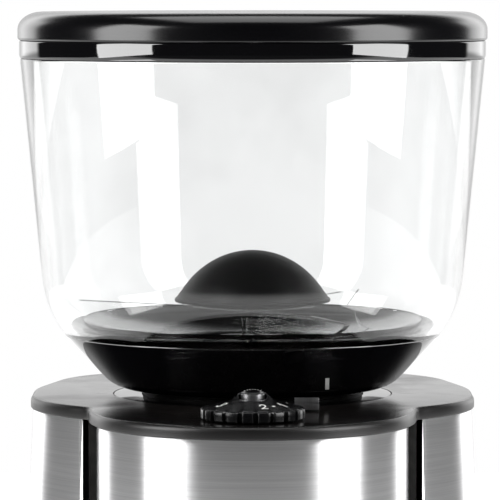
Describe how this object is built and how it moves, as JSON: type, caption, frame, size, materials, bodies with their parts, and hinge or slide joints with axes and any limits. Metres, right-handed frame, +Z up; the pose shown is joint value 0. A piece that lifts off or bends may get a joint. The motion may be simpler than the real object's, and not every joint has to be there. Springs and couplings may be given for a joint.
{
  "type": "burr coffee grinder",
  "caption": "Upright burr coffee grinder: clear bean hopper, geared grind dial on a lobed top plate, brushed covers, spout, portafilter fork and tray.",
  "frame": {"origin": "on the floor, under the middle of the whole grinder's bounding box", "axes": "+Z up, -Y towards the front where the dial, spout and tray are, +X to the user's right"},
  "size_m": [0.1776, 0.2282, 0.3697],
  "materials": {
    "clear_plastic": "polished clear moulding",
    "gloss_black_plastic": "high gloss black moulding",
    "satin_black_plastic": "satin black moulding",
    "painted_black_steel": "fine satin black powder coat",
    "brushed_steel": "horizontal brushed grain",
    "machined_steel": "machined and ground",
    "dark_fasteners": "blackened steel",
    "cast_aluminium": "die cast",
    "brass": "machined",
    "electrical_steel": "laminated stack",
    "copper_windings": "varnished wire",
    "grey_plastic": "moulded",
    "rubber": "matt"
  },
  "bodies": {
    "housing": {"top_plate": "satin_black_plastic", "trim_ring": "gloss_black_plastic", "pillar_screws": "dark_fasteners", "dial_bush": "brass", "dial_pointer": "machined_steel", "gear_bracket": "painted_black_steel", "side_cover_left": "brushed_steel", "side_cover_right": "brushed_steel", "front_column": "brushed_steel", "front_panel": "painted_black_steel", "rear_cover": "painted_black_steel", "spout_housing": "satin_black_plastic", "chute": "satin_black_plastic", "portafilter_fork": "machined_steel", "fork_screws": "dark_fasteners", "base_plate": "painted_black_steel", "feet": "rubber", "chassis_deck": "painted_black_steel", "pillars": "machined_steel", "grinding_chamber": "cast_aluminium", "upper_bearing": "machined_steel", "lower_bearing": "machined_steel", "motor_stator": "electrical_steel", "motor_windings": "copper_windings", "motor_upper_bell": "cast_aluminium", "motor_lower_bell": "cast_aluminium", "drive_bolts": "dark_fasteners", "run_capacitor": "grey_plastic", "mains_inlet": "satin_black_plastic", "rocker_switch_body": "satin_black_plastic", "start_switch": "satin_black_plastic", "button_spring": "machined_steel"},
    "hopper": {"hopper_shell": "clear_plastic", "hopper_band": "gloss_black_plastic", "hopper_bowl": "gloss_black_plastic", "bean_guard": "clear_plastic", "finger_guard_dome": "satin_black_plastic", "hopper_seal": "rubber"},
    "lid": {"lid": "gloss_black_plastic", "lid_seal": "rubber"},
    "adjuster": {"adjusting_ring": "satin_black_plastic", "ring_gear": "brass", "upper_burr": "machined_steel", "upper_burr_screws": "dark_fasteners"},
    "idler": {"idler_gear": "brass"},
    "dial": {"grind_dial": "gloss_black_plastic", "dial_screw": "machined_steel", "dial_shaft": "machined_steel", "dial_pinion": "brass"},
    "rotor": {"lower_burr": "machined_steel", "lower_burr_screws": "dark_fasteners", "burr_carrier": "machined_steel", "carrier_nut": "dark_fasteners", "motor_shaft": "machined_steel", "rotor_core": "electrical_steel", "cooling_fan": "grey_plastic"},
    "start_button": {"start_button": "gloss_black_plastic"},
    "power_rocker": {"power_rocker": "gloss_black_plastic"},
    "tray": {"tray": "satin_black_plastic", "tray_grille": "machined_steel"}
  },
  "joints": [
    {"name": "hopper_lift", "type": "slide", "parent": "housing", "child": "hopper", "axis": [0, 0, 1], "range_m": [0, 0.12]},
    {"name": "lid_lift", "type": "slide", "parent": "hopper", "child": "lid", "axis": [0, 0, 1], "range_m": [0, 0.1]},
    {"name": "ring_turn", "type": "hinge", "parent": "housing", "child": "adjuster", "pos_m": [0, 0.0289, 0.21], "axis": [0, 0, 1], "range_deg": [-40.9, 40.9]},
    {"name": "idler_turn", "type": "hinge", "parent": "housing", "child": "idler", "pos_m": [0, -0.0341, 0.218], "axis": [0, 0, 1], "range_deg": [-150, 150]},
    {"name": "dial_turn", "type": "hinge", "parent": "housing", "child": "dial", "pos_m": [0, -0.0611, 0.225], "axis": [0, 0, 1], "range_deg": [-150, 150]},
    {"name": "rotor_spin", "type": "hinge", "parent": "housing", "child": "rotor", "pos_m": [0, 0.0289, 0.12], "axis": [0, 0, 1], "continuous": true},
    {"name": "start_press", "type": "slide", "parent": "housing", "child": "start_button", "axis": [0, 1, 0], "range_m": [0, 0.004], "stiffness_N_per_m": 250, "springref_m": -0.002, "deforming": ["button_spring"]},
    {"name": "power_switch", "type": "hinge", "parent": "housing", "child": "power_rocker", "pos_m": [0.044, -0.0186, 0.122], "axis": [1, 0, 0], "range_deg": [-18, 0]},
    {"name": "tray_slide", "type": "slide", "parent": "housing", "child": "tray", "axis": [0, -1, 0], "range_m": [0, 0.09]}
  ],
  "couplings": [
    {"joint": "idler_turn", "follows": "ring_turn", "ratio": -3.6667},
    {"joint": "dial_turn", "follows": "ring_turn", "ratio": 3.6667}
  ]
}
